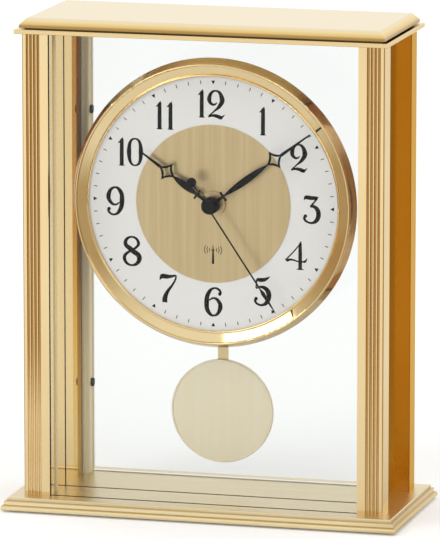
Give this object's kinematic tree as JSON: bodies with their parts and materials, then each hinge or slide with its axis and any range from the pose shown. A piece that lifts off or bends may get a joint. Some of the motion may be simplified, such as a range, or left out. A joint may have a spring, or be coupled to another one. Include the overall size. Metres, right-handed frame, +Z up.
{
  "type": "desk pendulum clock",
  "caption": "Brass and glass mantel clock with a stepped base, fluted columns, a round numbered dial, a quartz movement, a swinging pendulum and a hinged glass rear door.",
  "frame": {"origin": "bottom centre of the base, on the surface it stands on", "axes": "+X to the right seen from the front, +Y to the back, +Z up"},
  "size_m": [0.2126, 0.0946, 0.26],
  "materials": {
    "polished_brass": "polished and lacquered",
    "brushed_brass": "fine straight brushing",
    "clear_glass": "clear, polished edges",
    "silver_dial": "silvered, satin",
    "black_lacquer": "black lacquer",
    "black_plastic": "moulded, fine texture",
    "white_plastic": "moulded",
    "steel": "turned, bright",
    "copper_wire": "enamelled winding",
    "ferrite": "sintered, matt",
    "board_resin": "solder mask",
    "cell_sleeve": "printed sleeve",
    "nickel_strip": "nickel plated",
    "black_rubber": "moulded",
    "base_felt": "needled felt"
  },
  "bodies": {
    "case": {"base_slab": "polished_brass", "base_middle_plate": "polished_brass", "base_top_plate": "polished_brass", "front_column_right": "polished_brass", "front_column_left": "polished_brass", "rear_column_right": "polished_brass", "rear_column_left": "polished_brass", "side_panel_right": "polished_brass", "side_panel_left": "polished_brass", "cap_lower_plate": "polished_brass", "cap_upper_plate": "polished_brass", "hinge_leaves": "polished_brass", "bezel": "polished_brass", "bush_nut": "polished_brass", "threaded_bush": "polished_brass", "dial_centre_disc": "brushed_brass", "front_glass": "clear_glass", "dial_glass": "clear_glass", "dial_plate": "silver_dial", "movement_front_housing": "black_plastic", "movement_rear_housing": "black_plastic", "dial_backing": "black_plastic", "train_plate": "white_plastic", "train_bridge": "white_plastic", "base_screws": "steel", "cap_screws": "steel", "hinge_pins": "steel", "housing_screws": "steel", "motor_stator": "steel", "pendulum_pivot_pin": "steel", "motor_coil": "copper_wire", "pendulum_coil": "copper_wire", "ferrite_aerial": "ferrite", "circuit_board": "board_resin", "battery_cell": "cell_sleeve", "battery_contacts": "nickel_strip", "rubber_washer": "black_rubber", "door_stops": "black_rubber", "base_felt": "base_felt"},
    "rear_door": {"rear_glass": "clear_glass", "hinge_plates": "polished_brass", "door_knob": "polished_brass"},
    "second_train": {"second_hand": "black_lacquer", "second_wheel": "steel"},
    "minute_train": {"minute_hand": "black_lacquer", "centre_wheel": "white_plastic"},
    "hour_train": {"hour_hand": "black_lacquer", "hour_wheel": "white_plastic"},
    "third_train": {"third_wheel": "white_plastic"},
    "fifth_train": {"fifth_wheel": "white_plastic"},
    "motor_rotor": {"rotor": "steel"},
    "motion_train": {"motion_wheel": "white_plastic"},
    "setting_train": {"setting_wheel": "white_plastic", "set_knob": "white_plastic"},
    "pendulum": {"pendulum_hanger": "black_plastic", "pendulum_magnet": "steel", "pendulum_rod": "brushed_brass", "pendulum_bob": "brushed_brass"},
    "reset_push": {"reset_button": "white_plastic"},
    "signal_push": {"signal_button": "white_plastic"}
  },
  "joints": [
    {"name": "second_spin", "type": "hinge", "parent": "case", "child": "second_train", "pos_m": [0, 0, 0.163], "axis": [0, 1, 0], "continuous": true},
    {"name": "minute_spin", "type": "hinge", "parent": "case", "child": "minute_train", "pos_m": [0, 0, 0.163], "axis": [0, 1, 0], "continuous": true},
    {"name": "hour_spin", "type": "hinge", "parent": "case", "child": "hour_train", "pos_m": [0, 0, 0.163], "axis": [0, 1, 0], "continuous": true},
    {"name": "third_spin", "type": "hinge", "parent": "case", "child": "third_train", "pos_m": [0.00874, 0, 0.15258], "axis": [0, 1, 0], "continuous": true},
    {"name": "fifth_spin", "type": "hinge", "parent": "case", "child": "fifth_train", "pos_m": [0.00902, 0, 0.16628], "axis": [0, 1, 0], "continuous": true},
    {"name": "rotor_spin", "type": "hinge", "parent": "case", "child": "motor_rotor", "pos_m": [0.01823, 0, 0.16293], "axis": [0, 1, 0], "continuous": true},
    {"name": "motion_spin", "type": "hinge", "parent": "case", "child": "motion_train", "pos_m": [-0.01, 0, 0.163], "axis": [0, 1, 0], "continuous": true},
    {"name": "setting_spin", "type": "hinge", "parent": "case", "child": "setting_train", "pos_m": [-0.01884, 0, 0.15416], "axis": [0, 1, 0], "continuous": true},
    {"name": "pendulum_swing", "type": "hinge", "parent": "case", "child": "pendulum", "pos_m": [0, 0.008, 0.137], "axis": [0, 1, 0], "range_deg": [-8, 8]},
    {"name": "door_hinge", "type": "hinge", "parent": "case", "child": "rear_door", "pos_m": [0.07805, 0.0372, 0.1299], "axis": [0, 0, -1], "range_deg": [0, 110]},
    {"name": "reset_press", "type": "slide", "parent": "case", "child": "reset_push", "axis": [0, -1, 0], "range_m": [0, 0.0012], "stiffness_N_per_m": 300},
    {"name": "signal_press", "type": "slide", "parent": "case", "child": "signal_push", "axis": [0, -1, 0], "range_m": [0, 0.0012], "stiffness_N_per_m": 300}
  ],
  "couplings": [
    {"joint": "minute_spin", "follows": "second_spin", "ratio": 0.016667},
    {"joint": "hour_spin", "follows": "second_spin", "ratio": 0.0013889},
    {"joint": "third_spin", "follows": "second_spin", "ratio": -0.13333},
    {"joint": "fifth_spin", "follows": "second_spin", "ratio": -5},
    {"joint": "rotor_spin", "follows": "second_spin", "ratio": 30},
    {"joint": "motion_spin", "follows": "second_spin", "ratio": -0.0055556},
    {"joint": "setting_spin", "follows": "second_spin", "ratio": 0.0083333}
  ]
}
